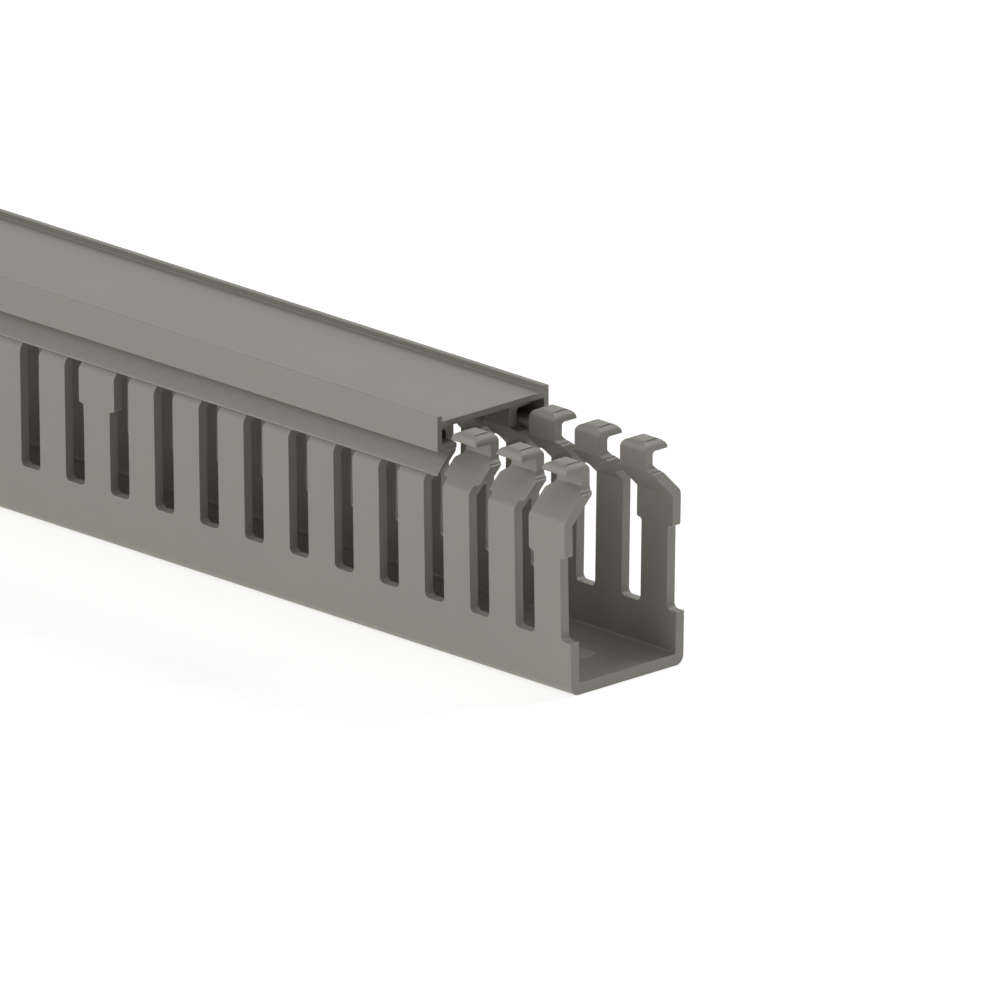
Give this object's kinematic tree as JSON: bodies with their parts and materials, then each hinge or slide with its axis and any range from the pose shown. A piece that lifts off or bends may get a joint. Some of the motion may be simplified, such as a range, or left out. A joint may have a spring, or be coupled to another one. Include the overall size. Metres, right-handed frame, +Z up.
{
  "type": "slotted wire duct",
  "caption": "Slotted plastic wiring duct with hooked fingers along both walls and a cover that slides lengthwise over them.",
  "frame": {"origin": "middle of the trough's underside", "axes": "+X along the duct towards the end where the fingers show, +Y across it, +Z up from its underside"},
  "size_m": [0.5308, 0.0256, 0.0395],
  "materials": {
    "grey_plastic": "satin stone-grey extruded plastic with fine lines along the extrusion"
  },
  "bodies": {
    "trough": {"trough": "grey_plastic"},
    "cover": {"cover": "grey_plastic"}
  },
  "joints": [
    {"name": "cover_slide", "type": "slide", "parent": "trough", "child": "cover", "axis": [1, 0, 0], "range_m": [-0.4692, 0.0308]}
  ]
}
